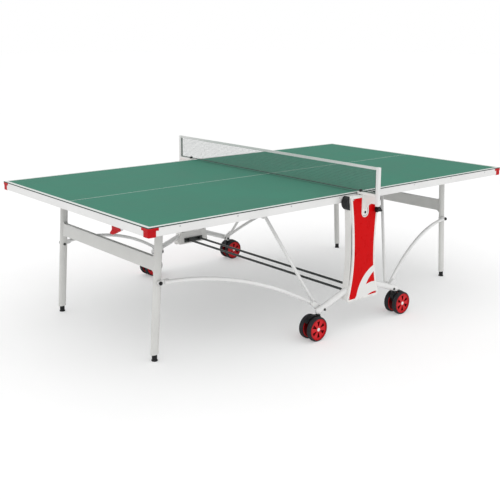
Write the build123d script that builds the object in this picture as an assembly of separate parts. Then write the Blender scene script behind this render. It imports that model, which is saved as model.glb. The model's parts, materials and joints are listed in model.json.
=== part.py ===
from build123d import *
import math
import os

# Foldable outdoor table-tennis table, millimetres.
# +X runs along the playing length, +Y across it, +Z up; the origin is on the floor under the
# middle of the net. "right" is the +X half, "left" is the -X half (the right one turned half
# a turn about Z). "near" is the -Y side, "far" is the +Y side.

# ---- table top ------------------------------------------------------------------------
TABLE_LENGTH = 2740.0
TABLE_WIDTH = 1525.0
TABLE_HEIGHT = 760.0
BOARD_THICKNESS = 5.0
MIDDLE_GAP = 3.5
BOARD_CORNER_RADIUS = 6.0
BOARD_UNDERSIDE = TABLE_HEIGHT - BOARD_THICKNESS
HALF_LENGTH = TABLE_LENGTH / 2
HALF_WIDTH = TABLE_WIDTH / 2

# ---- steel apron under each board -----------------------------------------------------
APRON_HEIGHT = 40.0
APRON_DEPTH = 25.0
APRON_WALL = 1.5
APRON_INSET = 1.5
APRON_BOTTOM = BOARD_UNDERSIDE - APRON_HEIGHT
APRON_START = 14.0
RIB_WIDTH = 25.0
RIB_HEIGHT = 18.0
RIB_WALL = 1.5
RIB_OFFSET = 437.5
CAP_FLANGE = 57.0
CAP_FLANGE_HEIGHT = 13.0
CAP_BODY = 43.0
CAP_DROP = 3.0
CAP_RELIEF = 2.0
BRACKET_FLANGE_BOTTOM = 751.0

# ---- fold geometry in the XZ plane, right half, table in play ------------------------------
GUIDE_TOP = (50.0, 718.0)
GUIDE_BOTTOM = (90.0, 263.17)
ARM_PIVOT = (285.0, 160.0)
STRUT_PIVOT = (490.0, 690.0)
LEG_PIVOT = (1124.0, 708.0)
LINK_PIVOT = (1141.8, 403.5)
FOOT_X = 1163.0

# ---- side lanes: distances from the table's middle line ------------------------------------
WEB_INNER = 765.0
WEB_THICKNESS = 3.5
TRAY_OUTER = 806.7
PANEL_INNER = 807.0
PANEL_OUTER = 817.0
ARM_LANE = 786.0
LINK_EYE_LANE = 761.0
LINK_TUBE_LANE = 757.0
STRUT_EYE_LANE = 735.0
STRUT_TOP_LANE = 511.0
LINK_TOP_LANE = 508.0
LEG_LANE = 485.0
NET_POST_LANE = 903.0

# ---- tubes, shafts and pins ----------------------------------------------------------------
ARM_RADIUS = 17.0
ARM_WALL = 2.0
STRUT_RADIUS = 9.0
LINK_RADIUS = 10.0
LINK_BULGE = 75.0
LEG_HALF_DEPTH = 23.0
LEG_HALF_WIDTH = 14.0
LEG_WALL = 1.8
LEG_PLUG_LENGTH = 60.0
LEG_HINGE_END = 40.0
CROSSBAR_Z = 492.0
CROSSBAR_HALF_HEIGHT = 35.0
CROSSBAR_HALF_DEPTH = 12.5
CROSSBAR_WALL = 1.8
CROSSBAR_GUSSET_START = 455.0
CROSSBAR_GUSSET_RISE = 15.0
LEG_BOTTOM = 33.0
PIVOT_BOLT_RADIUS = 5.0
SHAFT_RADIUS = 6.0
GUIDE_ROLLER_RADIUS = 8.0
RUNNING_CLEARANCE = 0.05
ROD_RADIUS = 7.0
ROD_X = 46.0
ROD_Z = 200.0
ROD_PLATE_HALF_LENGTH = 75.0
ROD_PLATE_BOTTOM = 182.0
ROD_PLATE_TOP = 212.0
ROD_PLATE_THICKNESS = 6.0
EYE_RADIUS = 14.0

# ---- side panel ------------------------------------------------------------------------
# half widths of the waisted outlines at three heights: top, waist and bottom
PANEL_TOP = 752.0
PANEL_PROFILE = [(117.0, PANEL_TOP), (89.0, 425.0), (131.0, 166.0)]
PANEL_CORNER_RADIUS = 16.0
PANEL_RIM = 12.0
TRAY_PROFILE = [(116.0, 748.0), (97.0, 425.0), (127.0, 172.0)]
TRAY_CORNER_RADIUS = 14.0
TRAY_WALL = 3.0
NOTCH_HALF_WIDTH = 23.0
NOTCH_BOTTOM = 633.0
TONGUE_HALF_WIDTH = 19.5
TONGUE_BOTTOM = 636.5
COVER_CENTRE = (97.0, 717.0)
COVER_RADIUS = 41.0

# ---- castors ---------------------------------------------------------------------------
WHEEL_RADIUS = 66.0
WHEEL_WIDTH = 27.0
WHEEL_SPACING = 60.0
HUB_RADIUS = 53.0
AXLE_RADIUS = 5.0
AXLE_HALF_LENGTH = 42.0
FORK_HALF_WIDTH = 13.0
CASTOR_LANE = 778.0
CASTOR_STEM_X = 312.0
WHEEL_X = 345.0
ARM_END_X = 318.0
ARM_END_Z = 154.0
ARM_SHOULDER = (104.0, 229.0)
ARM_BEND_RADIUS = 70.0
STEM_RADIUS = 7.0

# ---- net -------------------------------------------------------------------------------
NET_TOP = 912.5
NET_BOTTOM = 768.0
TAPE_HEIGHT = 15.0
NET_THICKNESS = 1.6
POST_SIZE = 20.0
BRACKET_TOP = 765.0

# ---- release lever and feet ------------------------------------------------------------
LEVER_LANE = 465.0
LEVER_WIDTH = 74.0
LEVER_PIVOT = (1347.0, 705.0)
LEVER_PIN_RADIUS = 3.0
LEVER_EAR_THICKNESS = 3.0
LEVER_SIDE_GAP = 1.0
FOOT_STUD_RADIUS = 5.0

os.makedirs("parts", exist_ok=True)


# ---- helpers ---------------------------------------------------------------------------
def block(x_range, y_range, z_range):
    """A box from three (low, high) pairs."""
    size = [high - low for low, high in (x_range, y_range, z_range)]
    middle = [(high + low) / 2 for low, high in (x_range, y_range, z_range)]
    return Pos(*middle) * Box(*size)


def slab(sketch, lane_start, lane_end):
    """Extrude a sketch drawn in (x, z) between two near-side lanes, y = -lane."""
    return Pos(0, -lane_start, 0) * extrude(Plane.XZ * sketch, amount=lane_end - lane_start)


def pin(centre, radius, lane_start, lane_end):
    """A cylinder along Y at centre = (x, z), between two near-side lanes."""
    return slab(Pos(*centre) * Circle(radius), lane_start, lane_end)


def upright(x, y, radius, z_low, z_high):
    """A vertical cylinder."""
    return Pos(x, y, (z_low + z_high) / 2) * Cylinder(radius, z_high - z_low)


def rod_between(start, end, radius):
    """A straight round bar between two points."""
    direction = Vector(*end) - Vector(*start)
    plane = Plane(origin=start, z_dir=direction)
    return extrude(plane * Circle(radius), amount=direction.length)


def stadium(start, end, radius):
    """A flat strip with round ends around the line from start to end, as a sketch."""
    across = Vector(end[0] - start[0], end[1] - start[1])
    angle = math.degrees(math.atan2(across.Y, across.X))
    middle = ((start[0] + end[0]) / 2, (start[1] + end[1]) / 2)
    strip = Pos(*middle) * Rot(0, 0, angle) * SlotCenterToCenter(across.length, 2 * radius)
    return strip


def far_side(shape):
    return mirror(shape, about=Plane.XZ)


def both_sides(shape):
    """The near-side shape and its far-side mirror image, as separate solids."""
    return Compound(children=[*solids_of(shape), *solids_of(far_side(shape))])


def solids_of(shape):
    return list(shape.solids())


def left_half(shape):
    """The left half's piece: the right one turned half a turn about Z."""
    return shape.rotate(Axis.Z, 180)


def save(name, shape):
    export_step(shape, f"parts/{name}.step")


def save_both_halves(name, shape):
    save("right_" + name, shape)
    save("left_" + name, left_half(shape))


def waisted_outline(profile, corner_radius):
    """A face symmetric about x = 0, narrowest at its waist, with rounded outer corners."""
    top, waist, bottom = profile
    mirrored = [(-x, z) for x, z in profile]
    edges = [
        TangentArc(waist, top, tangent=(0, 1)),
        TangentArc(waist, bottom, tangent=(0, -1)),
        Line(bottom, mirrored[2]),
        TangentArc(mirrored[1], mirrored[2], tangent=(0, -1)),
        TangentArc(mirrored[1], mirrored[0], tangent=(0, 1)),
        Line(mirrored[0], top),
    ]
    face = make_face(edges)
    corners = face.vertices().sort_by(Axis.Y)
    return fillet(corners[:2] + corners[-2:], corner_radius)


# ---- one half of the top ---------------------------------------------------------------
def make_board():
    length = HALF_LENGTH - MIDDLE_GAP
    sheet = Pos((HALF_LENGTH + MIDDLE_GAP) / 2, 0, (TABLE_HEIGHT + BOARD_UNDERSIDE) / 2) * Box(
        length, TABLE_WIDTH, BOARD_THICKNESS
    )
    outer_edges = sheet.edges().filter_by(Axis.Z).sort_by(Axis.X)[-2:]
    return fillet(outer_edges, BOARD_CORNER_RADIUS)


def tube_section(width, height, wall):
    return Rectangle(width, height) - Rectangle(width - 2 * wall, height - 2 * wall)


def corner_cut():
    """The room that the flange of a corner cap takes out of the apron."""
    low = HALF_LENGTH - CAP_FLANGE
    side = HALF_WIDTH - CAP_FLANGE
    height = (BOARD_UNDERSIDE - CAP_FLANGE_HEIGHT, BOARD_UNDERSIDE + 1)
    near = block((low, HALF_LENGTH + 1), (-HALF_WIDTH - 1, -side), height)
    return near + far_side(near)


def make_side_rail():
    """Long apron tube on the near side, notched from below for the guide shaft."""
    start = APRON_START
    end = HALF_LENGTH - CAP_BODY
    lane = HALF_WIDTH - APRON_INSET - APRON_DEPTH / 2
    height = BOARD_UNDERSIDE - APRON_HEIGHT / 2
    section = tube_section(APRON_DEPTH, APRON_HEIGHT, APRON_WALL)
    plane = Plane(origin=(start, -lane, height), x_dir=(0, 1, 0), z_dir=(1, 0, 0))
    tube = extrude(plane * section, amount=end - start)
    below = (GUIDE_TOP[0], APRON_BOTTOM - APRON_DEPTH)
    shaft_notch = slab(stadium(GUIDE_TOP, below, SHAFT_RADIUS + 1), lane - APRON_DEPTH, lane + APRON_DEPTH)
    return tube - corner_cut() - shaft_notch


def make_cross_rails():
    """Outer end apron tube and the inner tube next to the net."""
    section = tube_section(APRON_DEPTH, APRON_HEIGHT, APRON_WALL)
    height = BOARD_UNDERSIDE - APRON_HEIGHT / 2
    reach = HALF_WIDTH - CAP_BODY
    x_outer = HALF_LENGTH - APRON_INSET - APRON_DEPTH / 2
    outer_plane = Plane(origin=(x_outer, -reach, height), x_dir=(1, 0, 0), z_dir=(0, 1, 0))
    outer = extrude(outer_plane * section, amount=2 * reach) - corner_cut()
    inner_reach = HALF_WIDTH - APRON_INSET - APRON_DEPTH - 0.2
    x_inner = APRON_START + APRON_DEPTH / 2
    inner_plane = Plane(origin=(x_inner, -inner_reach, height), x_dir=(1, 0, 0), z_dir=(0, 1, 0))
    inner = extrude(inner_plane * section, amount=2 * inner_reach)
    return Compound(children=[*solids_of(outer), *solids_of(inner)])


def make_ribs():
    start = APRON_START + APRON_DEPTH
    end = HALF_LENGTH - APRON_INSET - APRON_DEPTH
    middle = (start, -RIB_OFFSET, BOARD_UNDERSIDE - RIB_HEIGHT / 2)
    section = tube_section(RIB_WIDTH, RIB_HEIGHT, RIB_WALL)
    plane = Plane(origin=middle, x_dir=(0, 1, 0), z_dir=(1, 0, 0))
    return both_sides(extrude(plane * section, amount=end - start))


def make_corner_caps():
    """Red moulded corner protectors: a wide flange on top of a narrower body."""
    flange = block(
        (HALF_LENGTH - CAP_FLANGE, HALF_LENGTH),
        (-HALF_WIDTH, -HALF_WIDTH + CAP_FLANGE),
        (BOARD_UNDERSIDE - CAP_FLANGE_HEIGHT, BOARD_UNDERSIDE),
    )
    body = block(
        (HALF_LENGTH - CAP_BODY, HALF_LENGTH - CAP_RELIEF),
        (-HALF_WIDTH + CAP_RELIEF, -HALF_WIDTH + CAP_BODY),
        (APRON_BOTTOM - CAP_DROP, BOARD_UNDERSIDE - CAP_FLANGE_HEIGHT),
    )
    hollow = block(
        (HALF_LENGTH - CAP_FLANGE - 1, HALF_LENGTH - CAP_BODY),
        (-HALF_WIDTH + CAP_BODY, -HALF_WIDTH + CAP_FLANGE + 1),
        (0, TABLE_HEIGHT),
    )
    cap = flange + body - hollow
    outer = [edge for edge in cap.edges().filter_by(Axis.Z) if edge.center().X > HALF_LENGTH - 3]
    outer = [edge for edge in outer if edge.center().Y < -HALF_WIDTH + 3]
    return both_sides(fillet(outer, BOARD_CORNER_RADIUS))


def make_shaft_bearing():
    """Block on the inner face of the side rail that the guide shaft turns in."""
    rail_face = HALF_WIDTH - APRON_INSET - APRON_DEPTH
    bearing = block((APRON_START + APRON_DEPTH + 0.2, 64), (-rail_face + 0.2, -rail_face + 18), (700, 740))
    return bearing - pin(GUIDE_TOP, SHAFT_RADIUS + RUNNING_CLEARANCE, 600, 800)


def make_strut_lug():
    x = STRUT_PIVOT[0]
    lug = slab(stadium(STRUT_PIVOT, (x, 745), 12), 519, 525)
    lug += block((x - 35, x + 35), (-600, -519), (BRACKET_FLANGE_BOTTOM, BOARD_UNDERSIDE))
    return lug - block((0, HALF_LENGTH), (-HALF_WIDTH, 0), (BOARD_UNDERSIDE, TABLE_HEIGHT))


def make_leg_hinge():
    """Plate with two ears and the pin that the leg turns on."""
    x = LEG_PIVOT[0]
    hinge = block((x - 34, x + 34), (-516, -454), (BRACKET_FLANGE_BOTTOM, BOARD_UNDERSIDE))
    for lane in (461, 503):
        hinge += slab(stadium(LEG_PIVOT, (x, 740), 14), lane, lane + 6)
    return hinge + pin(LEG_PIVOT, PIVOT_BOLT_RADIUS, 458, 512)


def make_lever_ears():
    """Two ears under the end apron with the lever's pin between them."""
    reach = LEVER_WIDTH / 2 + LEVER_SIDE_GAP
    ears = Part()
    for lane in (LEVER_LANE - reach - LEVER_EAR_THICKNESS, LEVER_LANE + reach):
        outline = stadium(LEVER_PIVOT, (LEVER_PIVOT[0], APRON_BOTTOM + 5), 8)
        ears += slab(outline, lane, lane + LEVER_EAR_THICKNESS)
    ears -= block((0, HALF_LENGTH), (-HALF_WIDTH, 0), (APRON_BOTTOM, TABLE_HEIGHT))
    reach += LEVER_EAR_THICKNESS
    return ears + pin(LEVER_PIVOT, LEVER_PIN_RADIUS, LEVER_LANE - reach, LEVER_LANE + reach)


def make_underframe_brackets():
    """Shaft bearings, strut lugs, leg hinge lugs with their pins, and the lever's lugs."""
    pieces = []
    for shape in (make_shaft_bearing(), make_strut_lug(), make_leg_hinge()):
        pieces += solids_of(shape) + solids_of(far_side(shape))
    pieces += solids_of(far_side(make_lever_ears()))
    return Compound(children=pieces)


def make_release_lever():
    """Red scoop under the end apron: its lip flares outwards and rises towards the corner."""
    x, z = LEVER_PIVOT
    profile = [(-9, 6), (10, 6), (10, -14), (22, -30), (16, -36), (2, -27), (-9, -8)]
    corners = [(x + across, z + up) for across, up in profile]
    outline = make_face(Polyline(*corners, corners[0]))
    outline = fillet(outline.vertices(), 2)
    start = LEVER_LANE - LEVER_WIDTH / 2
    end = LEVER_LANE + LEVER_WIDTH / 2
    front = make_face(
        Polyline(
            (-start, z + 20), (-end, z + 20), (-end, z - 6), (-start - 14, z - 38),
            (-start, z - 32), (-start, z + 20),
        )
    )
    scoop = slab(outline, start, end) & extrude(Plane.YZ * front, amount=HALF_LENGTH + 50)
    scoop -= pin(LEVER_PIVOT, LEVER_PIN_RADIUS + RUNNING_CLEARANCE, 300, 700)
    return far_side(scoop)


# ---- folding linkage -------------------------------------------------------------------
def make_guide_shaft():
    length = WEB_INNER + WEB_THICKNESS + 4.5
    return Pos(GUIDE_TOP[0], 0, GUIDE_TOP[1]) * Rot(90, 0, 0) * Cylinder(SHAFT_RADIUS, 2 * length)


def make_guide_rollers():
    """Flanged rollers that run in the slots of the two columns."""
    flange_start = WEB_INNER + WEB_THICKNESS + 0.3
    roller = pin(GUIDE_TOP, GUIDE_ROLLER_RADIUS, WEB_INNER - 1.7, flange_start)
    roller += pin(GUIDE_TOP, GUIDE_ROLLER_RADIUS + 1.2, flange_start, flange_start + 2.7)
    roller -= pin(GUIDE_TOP, SHAFT_RADIUS, 700, 800)
    return both_sides(roller)


def make_struts():
    """Straight struts from the base tubes up to the half's underframe.

    The lower eye plate is short and thin, so that the link's tube passes outside it.
    """
    start = (ARM_PIVOT[0], -STRUT_EYE_LANE, ARM_PIVOT[1])
    end = (STRUT_PIVOT[0], -STRUT_TOP_LANE, STRUT_PIVOT[1])
    run = (Vector(*end) - Vector(*start)).normalized()
    length = (Vector(*end) - Vector(*start)).length
    tube = rod_between(Vector(*start) + run * 18, Vector(*start) + run * (length - 20), STRUT_RADIUS)
    low = (ARM_PIVOT[0] + run.X * 20, ARM_PIVOT[1] + run.Z * 20)
    high = (STRUT_PIVOT[0] - run.X * 52, STRUT_PIVOT[1] - run.Z * 52)
    strut = tube + slab(stadium(ARM_PIVOT, low, EYE_RADIUS), STRUT_EYE_LANE - 4, STRUT_EYE_LANE + 1)
    strut += slab(stadium(STRUT_PIVOT, high, 12), STRUT_TOP_LANE - 4, STRUT_TOP_LANE + 4)
    strut -= pin(ARM_PIVOT, PIVOT_BOLT_RADIUS + RUNNING_CLEARANCE, 600, 900)
    strut += pin(STRUT_PIVOT, 7, STRUT_TOP_LANE - 8, STRUT_TOP_LANE - 4)
    return both_sides(strut)


def make_links():
    """Bowed tubes from the base tubes to the legs, which swing the legs in as the half folds."""
    start = Vector(ARM_PIVOT[0], -LINK_TUBE_LANE, ARM_PIVOT[1])
    end = Vector(LINK_PIVOT[0], -LINK_TOP_LANE, LINK_PIVOT[1])
    chord = end - start
    upward = Vector(-chord.Z, 0, chord.X).normalized()
    middle = (start + end) / 2 + upward * LINK_BULGE
    bow = ThreePointArc(start, middle, end)
    first = 28 / bow.length
    last = 1 - 26 / bow.length
    path = bow.trim(first, last)
    section = Plane(origin=path @ 0, z_dir=path % 0) * Circle(LINK_RADIUS)
    link = sweep(section, path=path)
    near_end = bow @ (55 / bow.length)
    leg_end = bow @ (1 - 48 / bow.length)
    low_eye = stadium(ARM_PIVOT, (near_end.X, near_end.Z), EYE_RADIUS)
    high_eye = stadium(LINK_PIVOT, (leg_end.X, leg_end.Z), 12)
    link += slab(low_eye, LINK_EYE_LANE - 5, LINK_EYE_LANE + 5)
    link += slab(high_eye, LINK_TOP_LANE - 5, LINK_TOP_LANE + 5)
    link -= pin(ARM_PIVOT, PIVOT_BOLT_RADIUS + RUNNING_CLEARANCE, 600, 900)
    link += pin(LINK_PIVOT, 7, LINK_TOP_LANE + 5, LINK_TOP_LANE + 10)
    return both_sides(link)


# ---- leg frame -------------------------------------------------------------------------
LEG_SLOPE = (FOOT_X - LEG_PIVOT[0]) / (LEG_PIVOT[1] - LEG_BOTTOM)
LEG_ANGLE = math.degrees(math.atan(LEG_SLOPE))


def leg_axis_x(z):
    return LEG_PIVOT[0] + LEG_SLOPE * (LEG_PIVOT[1] - z)


def leg_plane(distance):
    """Section plane of the near leg, this far down from the hinge pin."""
    turn = math.radians(LEG_ANGLE)
    down = Vector(math.sin(turn), 0, -math.cos(turn))
    origin = Vector(LEG_PIVOT[0], -LEG_LANE, LEG_PIVOT[1]) + down * distance
    return Plane(origin=origin, x_dir=(math.cos(turn), 0, math.sin(turn)), z_dir=down)


def make_leg_tube():
    """Oval tube, open at the bottom, with a rounded solid hinge end."""
    tube = extrude(leg_plane(0) * Ellipse(LEG_HALF_DEPTH, LEG_HALF_WIDTH), amount=LEG_PIVOT[1])
    bore = Ellipse(LEG_HALF_DEPTH - LEG_WALL, LEG_HALF_WIDTH - LEG_WALL)
    tube -= extrude(leg_plane(LEG_HINGE_END) * bore, amount=LEG_PIVOT[1])
    tube -= block((0, HALF_LENGTH), (-HALF_WIDTH, 0), (-100, LEG_BOTTOM))
    tube += pin(LEG_PIVOT, LEG_HALF_DEPTH - 1, LEG_LANE - LEG_HALF_WIDTH, LEG_LANE + LEG_HALF_WIDTH)
    return tube - pin(LEG_PIVOT, PIVOT_BOLT_RADIUS + RUNNING_CLEARANCE, 400, 600)


def make_leg_plug():
    """Plug in the bottom of the tube, with the threaded hole for the foot."""
    bore = Ellipse(LEG_HALF_DEPTH - LEG_WALL - 0.02, LEG_HALF_WIDTH - LEG_WALL - 0.02)
    top = leg_plane(LEG_PIVOT[1] - LEG_BOTTOM - LEG_PLUG_LENGTH)
    plug = extrude(top * bore, amount=2 * LEG_PLUG_LENGTH)
    plug -= block((0, HALF_LENGTH), (-HALF_WIDTH, 0), (-100, LEG_BOTTOM))
    hole_radius = FOOT_STUD_RADIUS + RUNNING_CLEARANCE
    return plug - upright(FOOT_X, -LEG_LANE, hole_radius, LEG_BOTTOM - 1, LEG_BOTTOM + 45)


def make_leg_crossbar(leg_blanks):
    """Flat tube welded between the legs, flared into gussets at its ends."""
    reach = LEG_LANE - 10
    half = CROSSBAR_HALF_HEIGHT
    flare = half + CROSSBAR_GUSSET_RISE
    inward = CROSSBAR_GUSSET_START
    outline = make_face(
        Polyline(
            (-reach, -flare), (-inward, -half), (inward, -half), (reach, -flare),
            (reach, flare), (inward, half), (-inward, half), (-reach, flare), (-reach, -flare),
        )
    )
    plane = Plane(
        origin=(leg_axis_x(CROSSBAR_Z), 0, CROSSBAR_Z),
        x_dir=(0, 1, 0),
        z_dir=(math.cos(math.radians(LEG_ANGLE)), 0, math.sin(math.radians(LEG_ANGLE))),
    )
    bar = extrude(plane * outline, amount=CROSSBAR_HALF_DEPTH, both=True)
    bore = Rectangle(2 * LEG_LANE, 2 * (half - CROSSBAR_WALL))
    bar -= extrude(plane * bore, amount=CROSSBAR_HALF_DEPTH - CROSSBAR_WALL, both=True)
    return bar - leg_blanks


def make_leg_bolts():
    """Bolts through the legs, whose heads stand beside the links' outer ends."""
    outer = LEG_LANE + LEG_HALF_WIDTH
    inner = LEG_LANE - LEG_HALF_WIDTH
    bolt = pin(LINK_PIVOT, PIVOT_BOLT_RADIUS, inner - 5, outer + 3)
    bolt += pin(LINK_PIVOT, 7, outer - 1, outer + 3)
    bolt += pin(LINK_PIVOT, 7.5, inner - 5, inner + 1)
    return both_sides(bolt)


def make_foot():
    """Levelling foot: disc, collar and threaded stud."""
    disc = upright(FOOT_X, -LEG_LANE, 16, 0, 9)
    disc = chamfer(disc.edges().sort_by(Axis.Z)[-1], 3)
    collar = upright(FOOT_X, -LEG_LANE, 12.5, 9, LEG_BOTTOM)
    stud = upright(FOOT_X, -LEG_LANE, FOOT_STUD_RADIUS, LEG_BOTTOM, LEG_BOTTOM + 28)
    return disc + collar + stud


# ---- chassis ---------------------------------------------------------------------------
def base_tube_path():
    right = [ARM_SHOULDER, (ARM_END_X, ARM_END_Z)]
    left = [(-x, z) for x, z in reversed(right)]
    return FilletPolyline(*[(x, -ARM_LANE, z) for x, z in left + right], radius=ARM_BEND_RADIUS)


def swept_bar(radius):
    """A round bar of this radius along the near base tube's path."""
    path = base_tube_path()
    return sweep(Plane(origin=path @ 0, z_dir=path % 0) * Circle(radius), path=path)


def make_base_tube():
    """Bent tube that runs through the foot of the column and carries two castors."""
    path = base_tube_path()
    tube = swept_bar(ARM_RADIUS)
    for end in (path @ 0, path @ 1):
        tube += Pos(*end) * Sphere(ARM_RADIUS)
    tube -= swept_bar(ARM_RADIUS - ARM_WALL)
    for side in (-1, 1):
        tube -= pin((side * ARM_PIVOT[0], ARM_PIVOT[1]), PIVOT_BOLT_RADIUS, 700, 900)
        tube -= upright(side * CASTOR_STEM_X, -CASTOR_LANE, STEM_RADIUS + RUNNING_CLEARANCE, 100, 152)
    return tube


def make_column():
    """Pressed steel tray with the two slanted guide slots."""
    outline = waisted_outline(TRAY_PROFILE, TRAY_CORNER_RADIUS)
    tray = slab(outline, WEB_INNER, TRAY_OUTER)
    hollow = slab(offset(outline, amount=-TRAY_WALL), WEB_INNER + WEB_THICKNESS, TRAY_OUTER + 1)
    column = tray - hollow
    slot_radius = GUIDE_ROLLER_RADIUS + RUNNING_CLEARANCE
    for side in (-1, 1):
        top = (side * GUIDE_TOP[0], GUIDE_TOP[1])
        bottom = (side * GUIDE_BOTTOM[0], GUIDE_BOTTOM[1])
        column -= slab(stadium(top, bottom, slot_radius), WEB_INNER - 1, WEB_INNER + WEB_THICKNESS + 1)
        column -= pin((side * ROD_X, ROD_Z), ROD_RADIUS, 700, 900)
    return column - swept_bar(ARM_RADIUS)


def notch(half_width, bottom):
    """The U-shaped notch at the top of a side panel, as a sketch."""
    return stadium((0, bottom + half_width), (0, PANEL_TOP + 100), half_width)


def panel_face():
    return waisted_outline(PANEL_PROFILE, PANEL_CORNER_RADIUS) - notch(NOTCH_HALF_WIDTH, NOTCH_BOTTOM)


def make_side_panel():
    """White moulded cover with a shallow pocket for the coloured inlay."""
    pocket = inlay_face()
    cover = slab(panel_face(), PANEL_INNER, PANEL_OUTER)
    return cover - slab(pocket, PANEL_OUTER - 3, PANEL_OUTER + 1)


def inlay_face():
    inner = offset(waisted_outline(PANEL_PROFILE, PANEL_CORNER_RADIUS), amount=-PANEL_RIM)
    return inner - notch(NOTCH_HALF_WIDTH + 5, NOTCH_BOTTOM - 5)


def make_panel_inlays():
    inlay = slab(inlay_face(), PANEL_OUTER - 3, PANEL_OUTER - 0.6)
    return both_sides(inlay)


def make_guide_covers():
    """Black stop covers that stand out beside the column at the height of the apron."""
    tray = slab(waisted_outline(TRAY_PROFILE, TRAY_CORNER_RADIUS), WEB_INNER - 5, TRAY_OUTER + 5)
    half_width = TRAY_PROFILE[0][0] - 1
    above = block((-half_width, half_width), (-HALF_LENGTH, 0), (COVER_CENTRE[1], TABLE_HEIGHT))
    pieces = []
    for side in (-1, 1):
        disc = pin((side * COVER_CENTRE[0], COVER_CENTRE[1]), COVER_RADIUS, WEB_INNER + 2, TRAY_OUTER - 1)
        pieces += solids_of(disc - tray - above)
    return both_sides(Compound(children=pieces))


def make_cross_rods():
    """The two rods that tie the columns together, and the plates that clamp them to the columns."""
    rods = []
    plate = block(
        (-ROD_PLATE_HALF_LENGTH, ROD_PLATE_HALF_LENGTH),
        (-WEB_INNER, -WEB_INNER + ROD_PLATE_THICKNESS),
        (ROD_PLATE_BOTTOM, ROD_PLATE_TOP),
    )
    for side in (-1, 1):
        rod = Pos(side * ROD_X, 0, ROD_Z) * Rot(90, 0, 0) * Cylinder(ROD_RADIUS, 2 * (ARM_LANE - 4))
        rods += solids_of(rod)
        plate -= pin((side * ROD_X, ROD_Z), ROD_RADIUS, 700, 900)
    return Compound(children=[*rods, *solids_of(plate), *solids_of(far_side(plate))])


def make_net_brackets():
    """Bent steel bracket: a tongue in the panel's notch and a gusseted arm out to the post."""
    post_face = NET_POST_LANE - POST_SIZE / 2
    tongue_end = (0, TONGUE_BOTTOM + TONGUE_HALF_WIDTH)
    tongue = slab(stadium(tongue_end, (0, 740), TONGUE_HALF_WIDTH), PANEL_INNER + 2, PANEL_OUTER - 2)
    strip = block((-12, 12), (-post_face, -WEB_INNER - 1), (PANEL_TOP + 0.5, BRACKET_TOP))
    gusset_outline = make_face(
        [
            Line((-post_face, BRACKET_TOP), (-PANEL_OUTER + 2, BRACKET_TOP)),
            Line((-PANEL_OUTER + 2, BRACKET_TOP), (-PANEL_OUTER + 2, 672)),
            Line((-PANEL_OUTER + 2, 672), (-PANEL_OUTER - 6, 672)),
            ThreePointArc((-PANEL_OUTER - 6, 672), (-PANEL_OUTER - 24, 700), (-PANEL_OUTER - 52, 712)),
            Line((-PANEL_OUTER - 52, 712), (-post_face, 712)),
            Line((-post_face, 712), (-post_face, BRACKET_TOP)),
        ]
    )
    gusset = extrude(Plane.YZ * gusset_outline, amount=6, both=True)
    screw = pin(tongue_end, 5.5, PANEL_OUTER - 2, PANEL_OUTER + 1)
    return both_sides(tongue + strip + gusset + screw)


def make_net_posts():
    half = POST_SIZE / 2
    post = block((-half, half), (-NET_POST_LANE - half, -NET_POST_LANE + half), (702, NET_TOP))
    post = fillet(post.edges().filter_by(Axis.Z), 3)
    return both_sides(post)


def make_net():
    reach = NET_POST_LANE - POST_SIZE / 2 - 0.3
    half = NET_THICKNESS / 2
    return block((-half, half), (-reach, reach), (NET_BOTTOM, NET_TOP - TAPE_HEIGHT))


def make_net_tape():
    reach = NET_POST_LANE - POST_SIZE / 2 - 0.3
    return block((-2, 2), (-reach, reach), (NET_TOP - TAPE_HEIGHT, NET_TOP))


def make_net_knob():
    """Three-lobed clamp knob on the face of the panel; it turns on its own screw."""
    centre = (90, 664)
    knob = pin(centre, 13, PANEL_OUTER + 0.4, PANEL_OUTER + 26)
    for lobe in range(3):
        angle = math.radians(90 + 120 * lobe)
        tip = (centre[0] + 17 * math.cos(angle), centre[1] + 17 * math.sin(angle))
        knob += slab(stadium(centre, tip, 7), PANEL_OUTER + 8, PANEL_OUTER + 25)
    return knob


def make_arm_bolts():
    bolts = []
    for side in (-1, 1):
        centre = (side * ARM_PIVOT[0], ARM_PIVOT[1])
        bolt = pin(centre, PIVOT_BOLT_RADIUS, STRUT_EYE_LANE - 9, ARM_LANE + ARM_RADIUS + 1)
        bolt += pin(centre, 8, STRUT_EYE_LANE - 10, STRUT_EYE_LANE - 5)
        bolt += pin(centre, 7, ARM_LANE + ARM_RADIUS, ARM_LANE + ARM_RADIUS + 4)
        bolts += solids_of(bolt)
    return both_sides(Compound(children=bolts))


# ---- castors, modelled at the near right corner -----------------------------------------------
def make_castor_fork():
    """Moulded body between the two wheels, with its hood, axle and swivel stem."""
    axle_centre = (WHEEL_X, WHEEL_RADIUS)
    inner_side = CASTOR_LANE - FORK_HALF_WIDTH
    outer_side = CASTOR_LANE + FORK_HALF_WIDTH
    web = slab(stadium(axle_centre, (CASTOR_STEM_X + 4, 106), 22), inner_side, outer_side)
    head = upright(CASTOR_STEM_X, -CASTOR_LANE, 15, 95, 131)
    stem = upright(CASTOR_STEM_X, -CASTOR_LANE, STEM_RADIUS, 130, 148)
    ring = Pos(*axle_centre) * (Circle(WHEEL_RADIUS + 3.5) - Circle(WHEEL_RADIUS - 1))
    wedge_corners = [axle_centre, (WHEEL_X + 95, 130), (WHEEL_X + 40, 190), (WHEEL_X - 45, 190)]
    wedge = make_face(Polyline(*wedge_corners, axle_centre))
    hood = slab(ring & wedge, inner_side, outer_side)
    rib = slab(stadium(axle_centre, (WHEEL_X + 20, 128), 6), CASTOR_LANE - 3, CASTOR_LANE + 3)
    rib -= pin(axle_centre, AXLE_RADIUS, 700, 900)
    axle = pin(axle_centre, AXLE_RADIUS, CASTOR_LANE - AXLE_HALF_LENGTH, CASTOR_LANE + AXLE_HALF_LENGTH)
    return web + head + stem + hood + rib + axle


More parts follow.
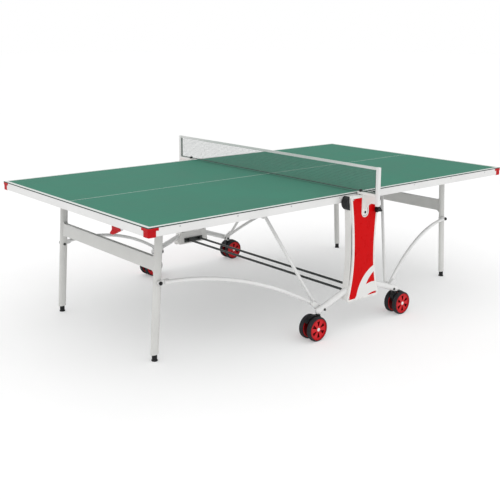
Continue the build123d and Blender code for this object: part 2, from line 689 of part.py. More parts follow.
def make_tyres():
    tyres = []
    for side in (-1, 1):
        lane = CASTOR_LANE + side * WHEEL_SPACING / 2
        ring = Pos(WHEEL_X, WHEEL_RADIUS) * (Circle(WHEEL_RADIUS) - Circle(HUB_RADIUS))
        tyre = slab(ring, lane - WHEEL_WIDTH / 2, lane + WHEEL_WIDTH / 2)
        rims = tyre.edges().filter_by(GeomType.CIRCLE)
        rims = [edge for edge in rims if edge.radius > WHEEL_RADIUS - 1]
        tyres += solids_of(fillet(rims, 7))
    return Compound(children=tyres)


def make_hubs():
    """Dished wheel centres with six raised wedges and six recesses on the outer face."""
    hubs = []
    for side in (-1, 1):
        lane = CASTOR_LANE + side * WHEEL_SPACING / 2
        half = WHEEL_WIDTH / 2 - 2
        hub = pin((WHEEL_X, WHEEL_RADIUS), HUB_RADIUS, lane - half, lane + half)
        hub -= pin((WHEEL_X, WHEEL_RADIUS), AXLE_RADIUS + RUNNING_CLEARANCE, 600, 900)
        face = lane + side * half
        low, high = sorted((face - side * 8, face + side))
        for recess in range(6):
            angle = 60 * recess + 30
            wedge = Pos(WHEEL_X, WHEEL_RADIUS) * Rot(0, 0, angle) * recess_wedge()
            hub -= slab(wedge, low, high)
        hubs += solids_of(hub)
    return Compound(children=hubs)


def recess_wedge():
    inner, outer, spread = 17.0, 46.0, math.radians(13)
    corners = [
        (inner, -2.5), (outer * math.cos(spread), -outer * math.sin(spread)),
        (outer * math.cos(spread), outer * math.sin(spread)), (inner, 2.5),
    ]
    return make_face(Polyline(*corners, corners[0]))


def save_castors():
    pieces = {"castor_fork": make_castor_fork(), "tyres": make_tyres(), "hubs": make_hubs()}
    for name, shape in pieces.items():
        mirrored = far_side(shape)
        save("right_near_" + name, shape)
        save("right_far_" + name, mirrored)
        save("left_far_" + name, left_half(shape))
        save("left_near_" + name, left_half(mirrored))


# ---- build everything ------------------------------------------------------------------
def save_top_and_linkage():
    side_rails = both_sides(make_side_rail())
    save_both_halves("board", make_board())
    save_both_halves("side_rails", side_rails)
    save_both_halves("cross_rails", make_cross_rails())
    save_both_halves("ribs", make_ribs())
    save_both_halves("corner_caps", make_corner_caps())
    save_both_halves("underframe_brackets", make_underframe_brackets())
    save_both_halves("release_lever", make_release_lever())
    save_both_halves("guide_shaft", make_guide_shaft())
    save_both_halves("guide_rollers", make_guide_rollers())
    save_both_halves("struts", make_struts())
    save_both_halves("links", make_links())


def save_leg_frames():
    blank = extrude(leg_plane(0) * Ellipse(LEG_HALF_DEPTH, LEG_HALF_WIDTH), amount=LEG_PIVOT[1])
    bolts = make_leg_bolts()
    near_leg = [*solids_of(make_leg_tube() - bolts), *solids_of(make_leg_plug())]
    legs = Compound(children=[*near_leg, *[far_side(solid) for solid in near_leg]])
    save_both_halves("legs", legs)
    save_both_halves("leg_crossbar", make_leg_crossbar(both_sides(blank)))
    save_both_halves("leg_bolts", bolts)
    foot = make_foot()
    save("right_near_foot", foot)
    save("right_far_foot", far_side(foot))
    save("left_far_foot", left_half(foot))
    save("left_near_foot", left_half(far_side(foot)))


def save_chassis():
    base_tube = make_base_tube()
    column = make_column()
    panel = make_side_panel()
    save("near_base_tube", base_tube)
    save("far_base_tube", far_side(base_tube))
    save("near_column", column)
    save("far_column", far_side(column))
    save("near_side_panel", panel)
    save("far_side_panel", far_side(panel))
    save("panel_inlays", make_panel_inlays())
    save("guide_covers", make_guide_covers())
    save("cross_rods", make_cross_rods())
    save("arm_bolts", make_arm_bolts())


def save_net_assembly():
    knob = make_net_knob()
    save("net_brackets", make_net_brackets())
    save("net_posts", make_net_posts())
    save("net", make_net())
    save("net_tape", make_net_tape())
    save("near_net_knob", knob)
    save("far_net_knob", left_half(knob))


save_top_and_linkage()
save_leg_frames()
save_chassis()
save_net_assembly()
save_castors()
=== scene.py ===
import json
import math
import bmesh
import bpy
from mathutils import Matrix, Vector


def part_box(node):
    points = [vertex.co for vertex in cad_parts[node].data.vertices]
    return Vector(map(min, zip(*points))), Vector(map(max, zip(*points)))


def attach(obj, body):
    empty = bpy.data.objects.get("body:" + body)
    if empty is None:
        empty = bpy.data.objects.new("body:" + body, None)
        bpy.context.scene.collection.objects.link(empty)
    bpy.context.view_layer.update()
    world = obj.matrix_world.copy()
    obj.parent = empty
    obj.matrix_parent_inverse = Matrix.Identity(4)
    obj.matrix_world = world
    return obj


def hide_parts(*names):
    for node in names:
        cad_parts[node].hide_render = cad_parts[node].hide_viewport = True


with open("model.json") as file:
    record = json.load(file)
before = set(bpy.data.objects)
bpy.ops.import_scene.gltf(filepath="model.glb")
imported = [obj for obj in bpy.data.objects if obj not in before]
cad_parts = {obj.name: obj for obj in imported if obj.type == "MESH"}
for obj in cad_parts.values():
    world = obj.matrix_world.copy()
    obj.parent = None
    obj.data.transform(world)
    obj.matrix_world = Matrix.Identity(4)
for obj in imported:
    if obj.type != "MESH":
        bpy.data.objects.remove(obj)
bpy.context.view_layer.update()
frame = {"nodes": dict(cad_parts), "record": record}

SIDES = {"right": 1, "left": -1}
LANES = {"near": -1, "far": 1}
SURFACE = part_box("right_board")[1].z
HALF_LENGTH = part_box("right_board")[1].x
HALF_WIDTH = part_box("right_board")[1].y


# ---- node helpers ----------------------------------------------------------------------
class Shader:
    """A small wrapper that builds one node material."""

    def __init__(self, name):
        self.material = bpy.data.materials.new(name)
        self.material.use_nodes = True
        self.nodes = self.material.node_tree.nodes
        self.links = self.material.node_tree.links
        self.nodes.clear()
        self.out = self.add("ShaderNodeOutputMaterial")
        self.surface = self.add("ShaderNodeBsdfPrincipled")
        self.links.new(self.surface.outputs["BSDF"], self.out.inputs["Surface"])
        self.place = self.add("ShaderNodeTexCoord").outputs["Object"]

    def add(self, kind, **settings):
        node = self.nodes.new(kind)
        for key, value in settings.items():
            setattr(node, key, value)
        return node

    def feed(self, socket, value):
        if isinstance(value, bpy.types.NodeSocket):
            self.links.new(value, socket)
        elif isinstance(value, tuple) and len(value) == 3 and socket.type == "RGBA":
            socket.default_value = (*value, 1.0)
        else:
            socket.default_value = value

    def math(self, operation, first, second=0.0, third=0.0):
        node = self.add("ShaderNodeMath", operation=operation)
        for socket, value in zip(node.inputs, (first, second, third)):
            self.feed(socket, value)
        return node.outputs[0]

    def noise(self, scale, detail=4.0, roughness=0.55, place=None):
        node = self.add("ShaderNodeTexNoise")
        self.feed(node.inputs["Vector"], place or self.place)
        node.inputs["Scale"].default_value = scale
        node.inputs["Detail"].default_value = detail
        node.inputs["Roughness"].default_value = roughness
        return node.outputs["Fac"]

    def stretch(self, factors):
        node = self.add("ShaderNodeVectorMath", operation="MULTIPLY")
        self.feed(node.inputs[0], self.place)
        node.inputs[1].default_value = factors
        return node.outputs[0]

    def axes(self):
        node = self.add("ShaderNodeSeparateXYZ")
        self.feed(node.inputs[0], self.place)
        return node.outputs

    def ramp(self, value, low, high, start=0.35, end=0.65):
        node = self.add("ShaderNodeMapRange")
        self.feed(node.inputs["Value"], value)
        for name, number in (("From Min", start), ("From Max", end), ("To Min", low), ("To Max", high)):
            node.inputs[name].default_value = number
        return node.outputs["Result"]

    def mix(self, share, first, second):
        node = self.add("ShaderNodeMix", data_type="RGBA")
        colours = [socket for socket in node.inputs if socket.type == "RGBA"]
        self.feed(node.inputs["Factor"], share)
        self.feed(colours[0], first)
        self.feed(colours[1], second)
        return [socket for socket in node.outputs if socket.type == "RGBA"][0]

    def bump(self, height, strength, distance):
        node = self.add("ShaderNodeBump")
        node.inputs["Strength"].default_value = strength
        node.inputs["Distance"].default_value = distance
        self.feed(node.inputs["Height"], height)
        self.feed(self.surface.inputs["Normal"], node.outputs["Normal"])

    def gloss(self, level):
        """Strength of the clear reflection, the same all over the surface."""
        self.surface.inputs["Specular IOR Level"].default_value = level

    def set(self, **values):
        for key, value in values.items():
            self.feed(self.surface.inputs[key.replace("_", " ")], value)
        return self.material


def linear(red, green, blue):
    """Scene-linear colour of an sRGB one given from 0 to 255."""
    def one(value):
        value /= 255
        return value / 12.92 if value <= 0.04045 else ((value + 0.055) / 1.055) ** 2.4
    return one(red), one(green), one(blue)


def shade(colour, factor):
    return tuple(channel * factor for channel in colour)


# ---- materials -------------------------------------------------------------------------
def powder_coat(name, colour, rough=0.38, grime=0.93):
    """Sprayed and baked paint: orange peel, faint dust, a slightly uneven gloss."""
    s = Shader(name)
    peel = s.noise(420.0, detail=2.0)
    dust = s.noise(5.0, detail=6.0)
    s.bump(peel, 0.10, 0.0006)
    tone = s.mix(s.ramp(dust, 0.0, 1.0), shade(colour, grime), colour)
    return s.set(Base_Color=tone, Roughness=s.ramp(dust, rough - 0.05, rough + 0.07))


def moulded(name, colour, rough=0.42, grain=0.12, gloss=0.5):
    """Injection-moulded plastic with a fine spark-eroded grain."""
    s = Shader(name)
    s.gloss(gloss)
    fine = s.noise(1500.0, detail=2.0)
    flow = s.noise(22.0, detail=3.0)
    s.bump(fine, grain, 0.0004)
    tone = s.mix(s.ramp(flow, 0.0, 1.0), shade(colour, 0.90), colour)
    return s.set(Base_Color=tone, Roughness=s.ramp(flow, rough - 0.05, rough + 0.06))


def rubber(name, colour):
    s = Shader(name)
    s.gloss(0.25)
    grit = s.noise(900.0, detail=5.0)
    scuff = s.noise(38.0, detail=6.0)
    s.bump(grit, 0.35, 0.0008)
    tone = s.mix(s.ramp(scuff, 0.0, 1.0, 0.45, 0.72), colour, shade(colour, 1.9))
    return s.set(Base_Color=tone, Roughness=s.ramp(scuff, 0.62, 0.85))


def plated(name, colour, rough=0.34):
    """Zinc-plated steel with cloudy spangle and drawing marks."""
    s = Shader(name)
    cloud = s.noise(90.0, detail=5.0)
    drawn = s.noise(140.0, place=s.stretch((0.04, 1.0, 1.0)))
    s.bump(drawn, 0.10, 0.0003)
    tone = s.mix(s.ramp(cloud, 0.0, 1.0), shade(colour, 0.78), colour)
    return s.set(Base_Color=tone, Metallic=1.0, Roughness=s.ramp(cloud, rough - 0.08, rough + 0.12))


PAINTED_DEPTH = 0.0006
DARK_EDGE_DEPTH = 0.0046


def playing_surface():
    """Matt green weatherproof laminate on top, dark edge and grey backing below."""
    s = Shader("playing_surface")
    s.gloss(0.05)
    z = s.axes()[2]
    stipple = s.noise(1300.0, detail=2.0)
    wear = s.noise(3.2, detail=7.0, roughness=0.6)
    green = linear(66, 125, 106)
    paint = s.mix(s.ramp(wear, 0.0, 1.0), shade(green, 0.94), shade(green, 1.05))
    on_top = s.math("GREATER_THAN", z, SURFACE - PAINTED_DEPTH)
    below = s.math("LESS_THAN", z, SURFACE - DARK_EDGE_DEPTH)
    edge = s.mix(below, linear(52, 58, 60), linear(118, 122, 120))
    s.bump(stipple, 0.16, 0.0003)
    colour = s.mix(on_top, edge, paint)
    return s.set(Base_Color=colour, Roughness=s.ramp(wear, 0.62, 0.72))


HUB_FACE_DEPTH = 0.0012


def hub_plastic():
    """Red moulding with painted shade in its recesses: the recess floors lie well inside the outer face and
    are painted dark red.
    """
    s = Shader("hub_moulding")
    s.gloss(0.20)
    y = s.axes()[1]
    low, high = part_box("right_far_hubs")
    middle = (low.y + high.y) / 2
    depth = s.math("ABSOLUTE", s.math("SUBTRACT", s.math("ABSOLUTE", y), middle))
    # mask of the recess floors, where the painted shade goes
    recess_shade_mask = s.math("LESS_THAN", depth, (high.y - low.y) / 2 - HUB_FACE_DEPTH)
    flow = s.noise(22.0, detail=3.0)
    red = linear(204, 26, 34)
    face = s.mix(s.ramp(flow, 0.0, 1.0), shade(red, 0.90), red)
    s.bump(s.noise(1500.0, detail=2.0), 0.12, 0.0004)
    # painted shade: the recess floors get a dark red in place of the shade that falls in them
    colour = s.mix(recess_shade_mask, face, linear(98, 6, 10))
    return s.set(Base_Color=colour, Roughness=s.ramp(flow, 0.35, 0.46))


def line_paint():
    s = Shader("line_paint")
    rub = s.noise(260.0, detail=4.0)
    s.bump(rub, 0.10, 0.0002)
    white = linear(212, 216, 213)
    return s.set(Base_Color=s.mix(s.ramp(rub, 0.0, 1.0), shade(white, 0.90), white), Roughness=0.5)


def panel_print():
    """Smooth red inlay with plain pale arcs swept across its foot."""
    s = Shader("panel_print")
    x, y, z = s.axes()
    along = s.math("MULTIPLY", x, s.math("SIGN", s.math("MULTIPLY", y, -1.0)))
    s.gloss(0.05)
    haze = s.noise(30.0, detail=3.0)
    red = linear(202, 2, 6)
    base = s.mix(s.ramp(haze, 0.0, 1.0), shade(red, 0.95), red)
    pale = linear(224, 224, 222)

    def disc(centre_x, centre_z, radius):
        dx = s.math("SUBTRACT", along, centre_x)
        dz = s.math("SUBTRACT", z, centre_z)
        reach = s.math("SQRT", s.math("ADD", s.math("MULTIPLY", dx, dx), s.math("MULTIPLY", dz, dz)))
        return s.math("LESS_THAN", reach, radius)

    def crescent(outer, inner):
        return s.math("MULTIPLY", disc(*outer), s.math("SUBTRACT", 1.0, disc(*inner)))

    upper = crescent((0.150, 0.150, 0.205), (0.170, 0.165, 0.165))
    lower = crescent((0.075, 0.085, 0.165), (0.095, 0.055, 0.135))
    swept = s.math("MAXIMUM", upper, lower)
    s.bump(s.noise(120.0), 0.01, 0.0001)
    s.surface.inputs["Coat Weight"].default_value = 0.02
    s.surface.inputs["Coat Roughness"].default_value = 0.12
    return s.set(Base_Color=s.mix(swept, base, pale), Roughness=s.ramp(haze, 0.26, 0.34))


def weave(name, colour, pitch, rough=0.8):
    """Plain woven tape: two crossed sets of threads in the plane of the net."""
    s = Shader(name)
    y, z = s.axes()[1:3]
    turn = 2 * math.pi / pitch
    warp = s.math("SINE", s.math("MULTIPLY", y, turn))
    weft = s.math("SINE", s.math("MULTIPLY", z, turn))
    threads = s.math("MULTIPLY", warp, weft)
    fuzz = s.noise(700.0, detail=5.0)
    s.bump(s.math("ADD", threads, fuzz), 0.35, 0.0004)
    tone = s.mix(s.ramp(threads, 0.0, 1.0, -1.0, 1.0), shade(colour, 0.82), colour)
    s.surface.inputs["Sheen Weight"].default_value = 0.25
    s.surface.inputs["Sheen Roughness"].default_value = 0.5
    return s.set(Base_Color=tone, Roughness=s.ramp(fuzz, rough - 0.08, rough + 0.08))


MATERIALS = {
    "board_green": playing_surface(),
    "white_steel": powder_coat("white_powder_coat", linear(226, 226, 225)),
    "leg_steel": powder_coat("leg_powder_coat", linear(209, 209, 206), rough=0.42),
    "grey_steel": powder_coat("grey_powder_coat", linear(230, 229, 226), rough=0.45),
    "zinc_steel": plated("zinc_plate", (0.62, 0.63, 0.64)),
    "dark_steel": powder_coat("dark_powder_coat", linear(46, 51, 49), rough=0.36, grime=0.8),
    "red_plastic": moulded("red_moulding", linear(186, 10, 20), gloss=0.12),
    "white_plastic": moulded("white_moulding", linear(230, 229, 226), rough=0.30, grain=0.05),
    "panel_red": panel_print(),
    "black_plastic": moulded("black_moulding", linear(22, 23, 25), rough=0.48, gloss=0.30),
    "tyre_rubber": rubber("tyre_rubber", linear(36, 36, 39)),
    "hub_red": hub_plastic(),
    "net_tape": weave("net_tape_weave", linear(222, 222, 220), 0.0011),
    "net_cloth": weave("net_thread", linear(62, 84, 76), 0.0009, rough=0.7),
    "line_paint": line_paint(),
}


def paint_cad_nodes():
    slot_of = {part["node"]: part["material_slot"] for part in frame["record"]["subparts"]}
    for name, node in frame["nodes"].items():
        material = MATERIALS[slot_of[name]]
        if not node.data.materials:
            node.data.materials.append(material)
        for index in range(len(node.data.materials)):
            node.data.materials[index] = material


def round_cad_edges(names, width):
    """Small bevels on sharp sheet-metal and moulded edges; the CAD mesh itself stays."""
    for name in names:
        node = frame["nodes"][name]
        bevel = node.modifiers.new("edge_round", "BEVEL")
        bevel.width = width
        bevel.segments = 2
        bevel.limit_method = "ANGLE"
        bevel.angle_limit = math.radians(50)
        bevel.use_clamp_overlap = True
        bevel.harden_normals = False


# ---- mesh helpers ----------------------------------------------------------------------
def finish_piece(name, mesh_builder, material, body, smooth=True):
    mesh = bpy.data.meshes.new(name)
    bmesh.ops.recalc_face_normals(mesh_builder, faces=mesh_builder.faces)
    mesh_builder.to_mesh(mesh)
    mesh_builder.free()
    mesh.materials.append(MATERIALS[material])
    for face in mesh.polygons:
        face.use_smooth = smooth
    piece = bpy.data.objects.new(name, mesh)
    bpy.context.scene.collection.objects.link(piece)
    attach(piece, body)
    return piece


def add_ring(builder, profile, centre, axis, segments=32):
    """Revolve (radius, height) pairs about axis through centre; closed where radius is 0."""
    turn = Vector((0, 0, 1)).rotation_difference(Vector(axis)).to_matrix()
    rings = []
    for radius, height in profile:
        if radius < 1e-6:
            rings.append([builder.verts.new(Vector(centre) + turn @ Vector((0, 0, height)))])
            continue
        ring = []
        for index in range(segments):
            angle = 2 * math.pi * index / segments
            local = Vector((radius * math.cos(angle), radius * math.sin(angle), height))
            ring.append(builder.verts.new(Vector(centre) + turn @ local))
        rings.append(ring)
    for lower, upper in zip(rings, rings[1:]):
        for index in range(segments):
            after = (index + 1) % segments
            if len(lower) == 1 and len(upper) > 1:
                builder.faces.new((lower[0], upper[after], upper[index]))
            elif len(upper) == 1 and len(lower) > 1:
                builder.faces.new((lower[index], lower[after], upper[0]))
            elif len(lower) > 1:
                builder.faces.new((lower[index], lower[after], upper[after], upper[index]))


def add_bar(builder, low, high):
    """A box between two corners."""
    corners = [
        builder.verts.new((x, y, z))
        for x in (low[0], high[0])
        for y in (low[1], high[1])
        for z in (low[2], high[2])
    ]
    for face in ((0, 1, 3, 2), (4, 6, 7, 5), (0, 4, 5, 1), (2, 3, 7, 6), (0, 2, 6, 4), (1, 5, 7, 3)):
        builder.faces.new([corners[index] for index in face])


def screw_profile(radius, height):
    """Pan head with a round recess, from its seat up."""
    return [
        (radius, 0.0), (radius, height * 0.45), (radius * 0.86, height * 0.85), (radius * 0.60, height),
        (radius * 0.42, height), (radius * 0.36, height * 0.45), (0.0, height * 0.45),
    ]


# ---- painted lines ---------------------------------------------------------------------
LINE_WIDTH = 0.020
CENTRE_LINE = 0.003
PAINT = 0.00015
PAINT_SINK = 0.00005
EDGE_MARGIN = 0.0008


def make_lines(side, sign):
    builder = bmesh.new()
    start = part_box(f"{side}_board")[0 if sign > 0 else 1].x
    end = sign * (HALF_LENGTH - EDGE_MARGIN)
    top = SURFACE + PAINT
    reach = HALF_WIDTH - EDGE_MARGIN

    def strip(x_one, x_two, y_one, y_two):
        low = (min(x_one, x_two), y_one, SURFACE - PAINT_SINK)
        add_bar(builder, low, (max(x_one, x_two), y_two, top))

    inner_end = end - sign * LINE_WIDTH
    strip(start, end, -reach, -reach + LINE_WIDTH)
    strip(start, end, reach - LINE_WIDTH, reach)
    strip(inner_end, end, -reach + LINE_WIDTH, reach - LINE_WIDTH)
    strip(start, inner_end, -CENTRE_LINE / 2, CENTRE_LINE / 2)
    finish_piece(f"{side}_lines", builder, "line_paint", f"{side}_half", smooth=False)


# ---- net -------------------------------------------------------------------------------
THREAD = 0.0009
LEVEL_SHARE = 0.8
MESH_PITCH = 0.0085
BINDING = 0.0018
HEM = 0.0045
END_BINDING = 0.009
BINDING_DROP = 0.001
BINDING_BEVEL = 0.0007
CLIP_REACH = 0.018
CLIP_RISE = 0.003


def make_net():
    """Open mesh of crossed threads between the posts, under the white tape."""
    low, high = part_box("net")
    columns = round((high.y - low.y) / MESH_PITCH)
    rows = round((high.z - low.z) / MESH_PITCH)
    builder = bmesh.new()
    half = THREAD / 2
    for index in range(columns + 1):
        y = low.y + half + (high.y - low.y - THREAD) * index / columns
        add_bar(builder, (-half, y - half, low.z), (half, y + half, high.z))
    for index in range(rows + 1):
        z = low.z + half + (high.z - low.z - THREAD) * index / rows
        thin = half * LEVEL_SHARE
        add_bar(builder, (-thin, low.y, z - half), (thin, high.y, z + half))
    net = finish_piece("net_mesh", builder, "net_cloth", "chassis", smooth=False)
    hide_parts("net")
    return net, low, high


def make_net_edges(low, high):
    """Dark binding along the bottom and both ends of the net, with the two tie clips."""
    builder = bmesh.new()
    add_bar(builder, (-BINDING, low.y, low.z - BINDING_DROP), (BINDING, high.y, low.z + HEM))
    for edge, inward in ((low.y, 1), (high.y, -1)):
        span = sorted((edge, edge + inward * END_BINDING))
        add_bar(builder, (-BINDING, span[0], low.z + HEM), (BINDING, span[1], high.z))
    binding = finish_piece("net_binding", builder, "net_cloth", "chassis", smooth=False)
    bevel = binding.modifiers.new("soft_edge", "BEVEL")
    bevel.width = BINDING_BEVEL
    bevel.segments = 2
    barrel = [(0.0, -0.009), (0.006, -0.009), (0.008, -0.005), (0.008, 0.005), (0.006, 0.009), (0.0, 0.009)]
    for name, sign in LANES.items():
        clip = bmesh.new()
        y = sign * (HALF_WIDTH + CLIP_REACH)
        add_ring(clip, barrel, (0, y, low.z + CLIP_RISE), (1, 0, 0), 20)
        finish_piece(f"{name}_net_clip", clip, "black_plastic", "chassis")
    return binding


# ---- small hardware --------------------------------------------------------------------
APRON_SCREW_SHARES = (0.10, 0.36, 0.63, 0.90)
APRON_SCREW_RISE = 0.010


def make_apron_screws(side):
    """Pan-head screws that hold the apron to the board's underframe."""
    builder = bmesh.new()
    low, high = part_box(f"{side}_side_rails")
    height = (low.z + high.z) / 2 + APRON_SCREW_RISE
    for share in APRON_SCREW_SHARES:
        x = low.x + (high.x - low.x) * share
        for lane, y in ((-1, low.y), (1, high.y)):
            add_ring(builder, screw_profile(0.0042, 0.0018), (x, y, height), (0, lane, 0), 20)
    finish_piece(f"{side}_apron_screws", builder, "zinc_steel", f"{side}_half")


TYRE_WIDTH = 0.027
RIM_RADII = (0.0520, 0.0575)
TREAD_HEIGHT = 0.0004
TREAD_ROOT = 0.0010
TREAD_LANES = (-0.0055, 0.0, 0.0055)


def make_hub_caps(side, lane):
    """Pale caps over the axle ends, the hubs' rim flanges and the tyres' raised tread lines."""
    low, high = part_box(f"{side}_{lane}_hubs")
    centre_x = (low.x + high.x) / 2
    centre_z = (low.z + high.z) / 2
    body = f"{side}_{lane}_wheels"
    caps = bmesh.new()
    for face, out in ((low.y, -1), (high.y, 1)):
        profile = [(0.0095, -0.001), (0.0095, 0.0015), (0.0078, 0.0028), (0.0, 0.0034)]
        add_ring(caps, profile, (centre_x, face, centre_z), (0, out, 0), 28)
    finish_piece(f"{side}_{lane}_hub_caps", caps, "white_plastic", body)
    treads = bmesh.new()
    rims = bmesh.new()
    tyre_low, tyre_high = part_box(f"{side}_{lane}_tyres")
    radius = (tyre_high.z - tyre_low.z) / 2
    crown = radius + TREAD_HEIGHT
    root = radius - TREAD_ROOT
    ridge = [(root, -0.0011), (crown, -0.0008), (crown, 0.0008), (root, 0.0011), (root, -0.0011)]
    inner, outer = RIM_RADII
    flange = [
        (inner, -0.003), (outer, -0.001), (outer, 0.0006),
        (outer - 0.001, 0.0012), (inner, 0.0010), (inner, -0.003),
    ]
    for middle in (tyre_low.y + TYRE_WIDTH / 2, tyre_high.y - TYRE_WIDTH / 2):
        for offset in TREAD_LANES:
            add_ring(treads, ridge, (centre_x, middle + offset, centre_z), (0, 1, 0), 72)
        for out in (-1, 1):
            wall = (centre_x, middle + out * TYRE_WIDTH / 2, centre_z)
            add_ring(rims, flange, wall, (0, out, 0), 72)
    for builder in (treads, rims):
        bmesh.ops.remove_doubles(builder, verts=builder.verts, dist=1e-6)
    finish_piece(f"{side}_{lane}_hub_rims", rims, "red_plastic", body)
    finish_piece(f"{side}_{lane}_treads", treads, "tyre_rubber", body)


ROD_X = 0.046
ROD_Z = 0.200
ROD_PLATE = 0.006


def make_rod_caps():
    """Black end sleeves where the cross rods leave their plates on the columns."""
    builder = bmesh.new()
    face = abs(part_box("near_column")[1].y) - ROD_PLATE
    sleeve = [(0.0072, 0.0), (0.0110, 0.0), (0.0110, 0.012), (0.0095, 0.015), (0.0072, 0.015), (0.0072, 0.0)]
    for x in (-ROD_X, ROD_X):
        for lane in (-1, 1):
            add_ring(builder, sleeve, (x, lane * face, ROD_Z), (0, -lane, 0), 28)
    bmesh.ops.remove_doubles(builder, verts=builder.verts, dist=1e-6)
    finish_piece("rod_sleeves", builder, "black_plastic", "chassis")


LINK_END = (1.1418, 0.5180, 0.4035)


def make_link_caps(side, sign):
    """Dark caps on the outer ends of the links' pins beside the legs."""
    x, lane, z = LINK_END
    builder = bmesh.new()
    for out in (-1, 1):
        cap = [(0.0, -0.0015), (0.0100, -0.0015), (0.0100, 0.003), (0.0085, 0.0045), (0.0, 0.0045)]
        add_ring(builder, cap, (sign * x, out * lane, z), (0, out, 0), 24)
    finish_piece(f"{side}_link_caps", builder, "black_plastic", f"{side}_links")


TONGUE_DEPTH = 0.011
TONGUE_SCREW_Z = 0.656


def make_bracket_screws():
    """Dark screws through the tongues of the net brackets."""
    lane = abs(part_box("near_side_panel")[1].y - TONGUE_DEPTH)
    builder = bmesh.new()
    for out in (-1, 1):
        seat = (0.0, out * lane, TONGUE_SCREW_Z)
        add_ring(builder, screw_profile(0.0068, 0.0022), seat, (0, out, 0), 24)
    finish_piece("bracket_screws", builder, "black_plastic", "chassis")


PANEL_SCREWS = ((-0.097, 0.735), (0.097, 0.735), (-0.112, 0.185), (0.112, 0.185))
LOCK_BOLT = (0.062, 0.430)
LOCK_BOLT_SEAT = 0.0006


def make_panel_hardware():
    """Screws in the rim of each side panel and one red lock bolt half way up."""
    screws = bmesh.new()
    bolts = bmesh.new()
    for lane, node in ((-1, "near_side_panel"), (1, "far_side_panel")):
        low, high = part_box(node)
        face = low.y if lane < 0 else high.y
        for x, z in PANEL_SCREWS:
            add_ring(screws, screw_profile(0.0045, 0.0020), (x, face, z), (0, lane, 0), 20)
        seat = (lane * LOCK_BOLT[0], face - lane * LOCK_BOLT_SEAT, LOCK_BOLT[1])
        add_ring(bolts, screw_profile(0.0105, 0.0035), seat, (0, lane, 0), 32)
    finish_piece("panel_screws", screws, "zinc_steel", "chassis")
    finish_piece("panel_lock_bolts", bolts, "panel_red", "chassis")


FOOT_RIBS = 14
FOOT_RIB_CIRCLE = 0.0125


def make_foot_ribs(side, lane):
    """Grip ribs around each levelling foot's collar."""
    low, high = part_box(f"{side}_{lane}_foot")
    centre = ((low.x + high.x) / 2, (low.y + high.y) / 2)
    builder = bmesh.new()
    rib = [(0.0, 0.011), (0.0012, 0.012), (0.0012, 0.030), (0.0, 0.031)]
    for index in range(FOOT_RIBS):
        angle = 2 * math.pi * index / FOOT_RIBS
        x = centre[0] + FOOT_RIB_CIRCLE * math.cos(angle)
        y = centre[1] + FOOT_RIB_CIRCLE * math.sin(angle)
        add_ring(builder, rib, (x, y, 0), (0, 0, 1), 8)
    finish_piece(f"{side}_{lane}_foot_ribs", builder, "black_plastic", f"{side}_{lane}_foot")


# ---- build -----------------------------------------------------------------------------
EDGE_BEVEL = 0.0008

paint_cad_nodes()
BEVELLED = ["net_posts", "net_brackets", "near_side_panel", "far_side_panel"]
for side in SIDES:
    BEVELLED += [f"{side}_corner_caps", f"{side}_leg_crossbar", f"{side}_release_lever"]
round_cad_edges(BEVELLED, EDGE_BEVEL)

for side, sign in SIDES.items():
    make_lines(side, sign)
    make_apron_screws(side)
    make_link_caps(side, sign)
    for lane in LANES:
        make_hub_caps(side, lane)
        make_foot_ribs(side, lane)
net, net_low, net_high = make_net()
binding = make_net_edges(net_low, net_high)
make_rod_caps()
make_bracket_screws()
make_panel_hardware()


# ---- camera, light and floor -----------------------------------------------------------
CAMERA_PLACE = Vector((-3.315, -3.742, 1.604))
CAMERA_AZIMUTH = math.radians(40.036)
CAMERA_DOWN = math.radians(9.678)
CAMERA_ROLL = math.radians(0.263)
LENS_MM = 58.99
SHIFT = (0.010, -0.150)
FLOOR_REACH = 60.0
FLOOR_DROP = 0.0005


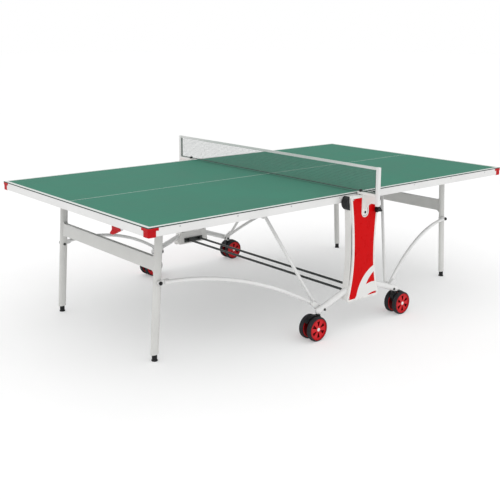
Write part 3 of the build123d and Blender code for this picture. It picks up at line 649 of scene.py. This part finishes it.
def make_camera():
    forward = Vector((
        math.sin(CAMERA_AZIMUTH) * math.cos(CAMERA_DOWN),
        math.cos(CAMERA_AZIMUTH) * math.cos(CAMERA_DOWN),
        -math.sin(CAMERA_DOWN),
    ))
    right = forward.cross(Vector((0, 0, 1))).normalized()
    up = right.cross(forward)
    rolled_right = right * math.cos(CAMERA_ROLL) + up * math.sin(CAMERA_ROLL)
    rolled_up = up * math.cos(CAMERA_ROLL) - right * math.sin(CAMERA_ROLL)
    data = bpy.data.cameras.new("camera")
    data.lens = LENS_MM
    data.sensor_width = 36.0
    data.shift_x, data.shift_y = SHIFT
    camera = bpy.data.objects.new("camera", data)
    turn = Matrix((rolled_right, rolled_up, -forward)).transposed()
    camera.matrix_world = Matrix.Translation(CAMERA_PLACE) @ turn.to_4x4()
    bpy.context.scene.collection.objects.link(camera)
    bpy.context.scene.camera = camera


def make_light(name, place, aim, size, power):
    data = bpy.data.lights.new(name, "AREA")
    data.shape = "DISK"
    data.size = size
    data.energy = power
    lamp = bpy.data.objects.new(name, data)
    lamp.location = place
    lamp.rotation_mode = "QUATERNION"
    lamp.rotation_quaternion = (Vector(aim) - Vector(place)).to_track_quat("-Z", "Y")
    bpy.context.scene.collection.objects.link(lamp)


def make_studio():
    world = bpy.data.worlds.new("studio")
    world.use_nodes = True
    sky = world.node_tree.nodes["Background"]
    sky.inputs["Color"].default_value = (1.0, 1.0, 1.0, 1.0)
    sky.inputs["Strength"].default_value = 1.0
    bpy.context.scene.world = world
    bpy.context.scene.view_settings.view_transform = "Standard"
    make_light("key", (-3.5, -4.0, 5.0), (0, 0, 0.5), 3.5, 40)
    make_light("fill", (4.5, -3.0, 3.0), (0, 0, 0.5), 3.0, 10)
    make_light("back", (1.0, 5.0, 4.0), (0, 0, 0.6), 3.0, 14)
    surface = Shader("floor_paper")
    mottle = surface.noise(2.0)
    white = (0.74, 0.74, 0.74)
    tone = surface.mix(surface.ramp(mottle, 0.0, 1.0), shade(white, 0.985), white)
    surface.gloss(0.0)
    surface.set(Base_Color=tone, Roughness=0.9, Emission_Color=(1.0, 1.0, 1.0), Emission_Strength=0.27)
    mesh = bpy.data.meshes.new("floor")
    builder = bmesh.new()
    corners = [(-FLOOR_REACH, -FLOOR_REACH), (FLOOR_REACH, -FLOOR_REACH)]
    corners += [(FLOOR_REACH, FLOOR_REACH), (-FLOOR_REACH, FLOOR_REACH)]
    builder.faces.new([builder.verts.new((x, y, -FLOOR_DROP)) for x, y in corners])
    builder.to_mesh(mesh)
    builder.free()
    mesh.materials.append(surface.material)
    floor = bpy.data.objects.new("floor", mesh)
    bpy.context.scene.collection.objects.link(floor)


make_camera()
make_studio()
